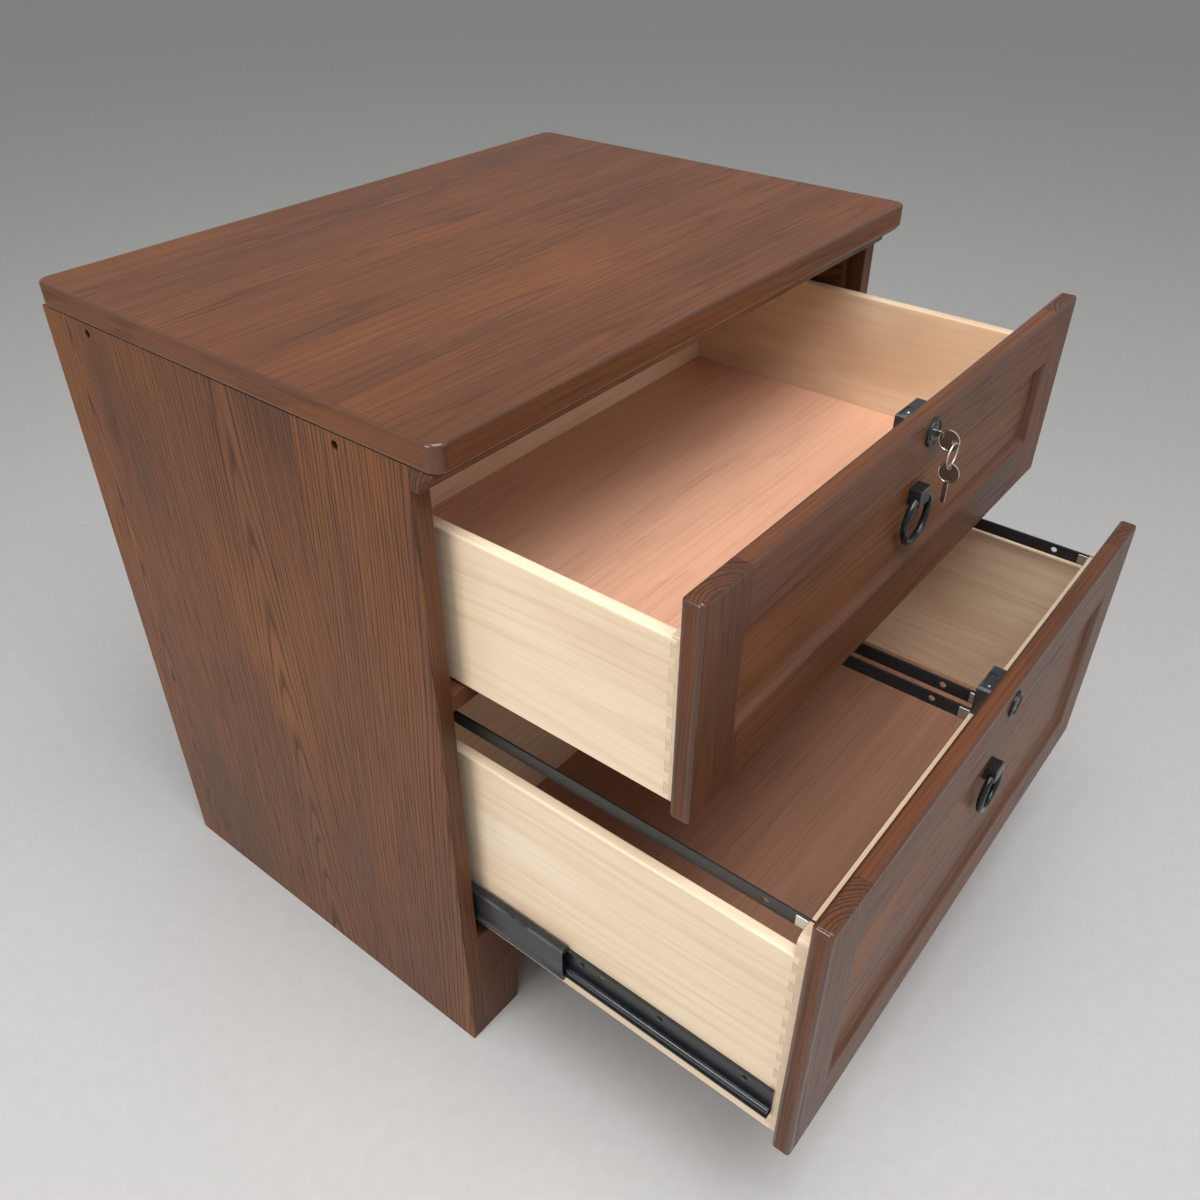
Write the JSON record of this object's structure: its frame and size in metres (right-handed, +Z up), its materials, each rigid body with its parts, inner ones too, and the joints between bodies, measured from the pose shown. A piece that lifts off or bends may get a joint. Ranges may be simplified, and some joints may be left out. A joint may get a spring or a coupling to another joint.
{
  "type": "lateral filing cabinet",
  "caption": "Low, wide filing cabinet with two inset drawers on runners and slides, recessed-panel fronts, ring pulls, locks and hanging-file rails.",
  "frame": {"origin": "on the floor, at the middle of the ground that the open cabinet covers", "axes": "+X to the right seen from the front, +Y to the back, +Z up; drawers open along -Y"},
  "size_m": [0.762, 0.9056, 0.7765],
  "materials": {
    "dark_oak": "satin dark stain",
    "pale_wood": "clear satin",
    "plywood": "reddish ply, clear satin",
    "black_steel": "satin black",
    "black_iron": "rubbed black",
    "nickel": "polished nickel",
    "zinc": "zinc plate"
  },
  "bodies": {
    "carcass": {"top_slab": "dark_oak", "left_side_panel": "dark_oak", "right_side_panel": "dark_oak", "left_front_stile": "dark_oak", "right_front_stile": "dark_oak", "cove_moulding": "dark_oak", "top_rail": "dark_oak", "middle_rail": "dark_oak", "bottom_rail": "dark_oak", "front_feet": "dark_oak", "back_panel": "plywood", "back_rails": "pale_wood", "dust_panel": "plywood", "runners": "pale_wood", "side_guides": "pale_wood", "kickers": "pale_wood", "slab_cleats": "pale_wood", "side_screws": "black_steel", "left_slide_outer": "black_steel", "right_slide_outer": "black_steel"},
    "left_middle_slide": {"left_slide_middle": "black_steel"},
    "right_middle_slide": {"right_slide_middle": "black_steel"},
    "upper_drawer": {"top_front_left_stile": "dark_oak", "top_front_right_stile": "dark_oak", "top_front_lower_rail": "dark_oak", "top_front_upper_rail": "dark_oak", "top_front_panel": "dark_oak", "top_box_left_side": "pale_wood", "top_box_right_side": "pale_wood", "top_box_front": "pale_wood", "top_box_back": "pale_wood", "top_box_bottom": "plywood", "top_pull_mount": "black_iron", "top_lock_housing": "black_iron"},
    "lower_drawer": {"low_front_left_stile": "dark_oak", "low_front_right_stile": "dark_oak", "low_front_lower_rail": "dark_oak", "low_front_upper_rail": "dark_oak", "low_front_panel": "dark_oak", "low_box_left_side": "pale_wood", "low_box_right_side": "pale_wood", "low_box_front": "pale_wood", "low_box_back": "pale_wood", "low_box_bottom": "plywood", "low_pull_mount": "black_iron", "low_lock_housing": "black_iron", "left_slide_inner": "black_steel", "right_slide_inner": "black_steel", "slide_screws": "black_steel", "hanging_rails": "black_steel", "rail_clips": "zinc"},
    "upper_pull": {"top_pull_ring": "black_iron"},
    "lower_pull": {"low_pull_ring": "black_iron"},
    "upper_lock": {"top_lock_cylinder": "black_iron", "top_lock_key": "nickel"},
    "lower_lock": {"low_lock_cylinder": "black_iron"},
    "upper_bolt": {"top_lock_bolt": "black_iron"},
    "lower_bolt": {"low_lock_bolt": "black_iron"},
    "spare_key_link": {"key_link": "nickel", "spare_key": "nickel"}
  },
  "joints": [
    {"name": "upper_drawer_slide", "type": "slide", "parent": "carcass", "child": "upper_drawer", "axis": [0, -1, 0], "range_m": [-0.251, 0.129]},
    {"name": "lower_drawer_slide", "type": "slide", "parent": "carcass", "child": "lower_drawer", "axis": [0, -1, 0], "range_m": [-0.381, 0.069]},
    {"name": "left_slide_run", "type": "slide", "parent": "carcass", "child": "left_middle_slide", "axis": [0, -1, 0], "range_m": [-0.14097, 0.02553]},
    {"name": "right_slide_run", "type": "slide", "parent": "carcass", "child": "right_middle_slide", "axis": [0, -1, 0], "range_m": [-0.14097, 0.02553]},
    {"name": "upper_pull_swing", "type": "hinge", "parent": "upper_drawer", "child": "upper_pull", "pos_m": [0, -0.3178, 0.63987], "axis": [-1, 0, 0], "range_deg": [0, 90]},
    {"name": "lower_pull_swing", "type": "hinge", "parent": "lower_drawer", "child": "lower_pull", "pos_m": [0, -0.4478, 0.37138], "axis": [-1, 0, 0], "range_deg": [0, 90]},
    {"name": "upper_lock_turn", "type": "hinge", "parent": "upper_drawer", "child": "upper_lock", "pos_m": [0, -0.3168, 0.706], "axis": [0, 1, 0], "range_deg": [0, 90]},
    {"name": "lower_lock_turn", "type": "hinge", "parent": "lower_drawer", "child": "lower_lock", "pos_m": [0, -0.4468, 0.4625], "axis": [0, 1, 0], "range_deg": [0, 90]},
    {"name": "upper_bolt_lift", "type": "slide", "parent": "upper_drawer", "child": "upper_bolt", "axis": [0, 0, 1], "range_m": [0, 0.018]},
    {"name": "lower_bolt_lift", "type": "slide", "parent": "lower_drawer", "child": "lower_bolt", "axis": [0, 0, 1], "range_m": [0, 0.018]},
    {"name": "key_link_swing", "type": "hinge", "parent": "upper_lock", "child": "spare_key_link", "pos_m": [0, -0.338, 0.7009], "axis": [-1, 0, 0], "range_deg": [-8, 40]}
  ],
  "couplings": [
    {"joint": "left_slide_run", "follows": "lower_drawer_slide", "ratio": 0.37},
    {"joint": "right_slide_run", "follows": "lower_drawer_slide", "ratio": 0.37},
    {"joint": "upper_bolt_lift", "follows": "upper_lock_turn", "m_per_rad": 0.011459},
    {"joint": "lower_bolt_lift", "follows": "lower_lock_turn", "m_per_rad": 0.011459}
  ]
}
